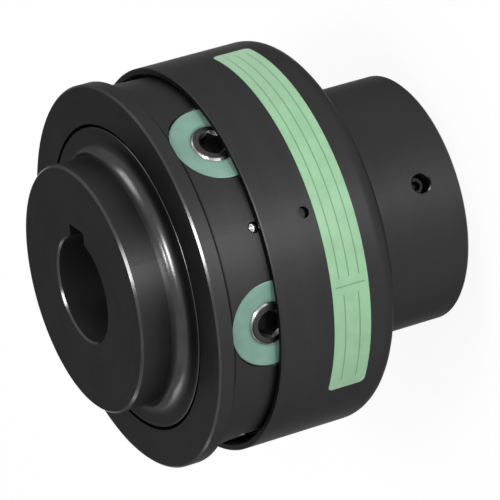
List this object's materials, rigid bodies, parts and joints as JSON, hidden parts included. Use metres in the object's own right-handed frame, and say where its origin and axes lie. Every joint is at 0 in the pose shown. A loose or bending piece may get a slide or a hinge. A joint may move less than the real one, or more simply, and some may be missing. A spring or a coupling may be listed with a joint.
{
  "type": "flexible shaft coupling with radial elastic elements",
  "caption": "Flexible shaft coupling: keyed inner and outer hubs driven through radial elastic rings on socket pins, under a sliding latched cover.",
  "frame": {"origin": "centre of the back boss end face, on which the coupling stands", "axes": "+Z along the shaft axis towards the front boss; +X through the latch ball, the latch hole and the set screw"},
  "size_m": [0.1029, 0.1028, 0.0963],
  "materials": {
    "black_steel": "turned steel, black phosphate finish, satin",
    "pin_steel": "blackened alloy steel, edges ground bright",
    "bright_ball": "polished bearing steel",
    "spring_steel": "drawn spring wire",
    "green_elastomer": "cast polyurethane, pale green, semi-matt",
    "label_film": "printed vinyl label, pale green"
  },
  "bodies": {
    "coupling": {"inner_hub": "black_steel", "outer_hub": "black_steel", "elastic_element_1": "green_elastomer", "elastic_element_2": "green_elastomer", "elastic_element_3": "green_elastomer", "elastic_element_4": "green_elastomer", "elastic_element_5": "green_elastomer", "elastic_element_6": "green_elastomer", "pin_1": "pin_steel", "pin_2": "pin_steel", "pin_3": "pin_steel", "pin_4": "pin_steel", "pin_5": "pin_steel", "pin_6": "pin_steel", "plunger_body": "pin_steel", "plunger_spring": "spring_steel", "set_screw": "pin_steel"},
    "cover": {"cover_sleeve": "black_steel", "label": "label_film"},
    "latch_ball": {"plunger_ball": "bright_ball"}
  },
  "joints": [
    {"name": "cover_slide", "type": "slide", "parent": "coupling", "child": "cover", "axis": [0, 0, 1], "range_m": [-0.013, 0.0132]},
    {"name": "ball_spring", "type": "slide", "parent": "coupling", "child": "latch_ball", "axis": [1, 0, 0], "range_m": [-0.0002, 0.0006], "stiffness_N_per_m": 6000, "springref_m": 0.0016, "deforming": ["plunger_spring"]}
  ]
}
